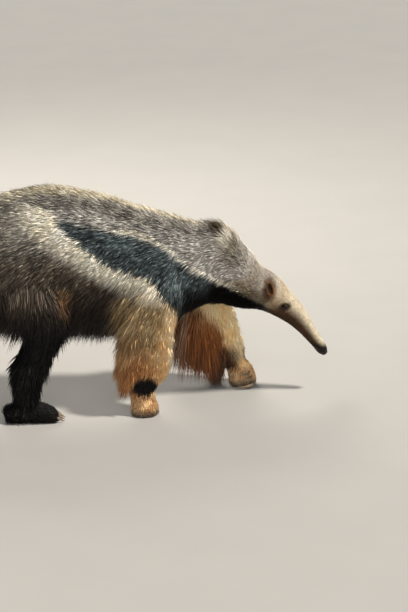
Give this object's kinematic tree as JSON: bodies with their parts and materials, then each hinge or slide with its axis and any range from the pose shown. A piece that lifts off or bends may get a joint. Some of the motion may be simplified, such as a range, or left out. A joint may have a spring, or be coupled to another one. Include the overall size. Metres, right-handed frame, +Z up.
{
  "type": "giant anteater",
  "caption": "Standing giant anteater in mid-stride, life size, with a long low head, black shoulder band, pale forelegs and a deep plume of a tail.",
  "frame": {"origin": "middle of the bounding box, on the floor that the feet stand on", "axes": "+X forward, from the tail to the nose; +Y to the animal's left; +Z up"},
  "size_m": [2.2271, 0.4079, 0.7276],
  "materials": {
    "coat_grizzled": "coarse grizzled hair, grey-brown with cream tips",
    "coat_black": "long black-brown hair",
    "coat_tan": "tan to cream hair with dark ticking and a black wrist",
    "coat_face": "very short flat hair, beige-grey",
    "nose_skin": "bare damp black skin",
    "ear_skin": "thin skin with a short brown pile",
    "eye": "wet dark brown",
    "claw_horn": "worn grey-brown horn"
  },
  "bodies": {
    "root": {"torso": "coat_grizzled", "neck": "coat_grizzled", "head": "coat_face", "nose": "nose_skin", "tail_base": "coat_grizzled", "tail_middle": "coat_grizzled", "tail_tip": "coat_grizzled", "eye_right": "eye", "ear_right": "ear_skin", "foreleg_right": "coat_tan", "forefoot_right": "coat_tan", "hindleg_right": "coat_black", "hindfoot_right": "coat_black", "foreclaw_right_1": "claw_horn", "foreclaw_right_2": "claw_horn", "foreclaw_right_3": "claw_horn", "hindclaw_right_1": "claw_horn", "hindclaw_right_2": "claw_horn", "hindclaw_right_3": "claw_horn", "hindclaw_right_4": "claw_horn", "hindclaw_right_5": "claw_horn", "eye_left": "eye", "ear_left": "ear_skin", "foreleg_left": "coat_tan", "forefoot_left": "coat_tan", "hindleg_left": "coat_black", "hindfoot_left": "coat_black", "foreclaw_left_1": "claw_horn", "foreclaw_left_2": "claw_horn", "foreclaw_left_3": "claw_horn", "hindclaw_left_1": "claw_horn", "hindclaw_left_2": "claw_horn", "hindclaw_left_3": "claw_horn", "hindclaw_left_4": "claw_horn", "hindclaw_left_5": "claw_horn"}
  },
  "joints": []
}
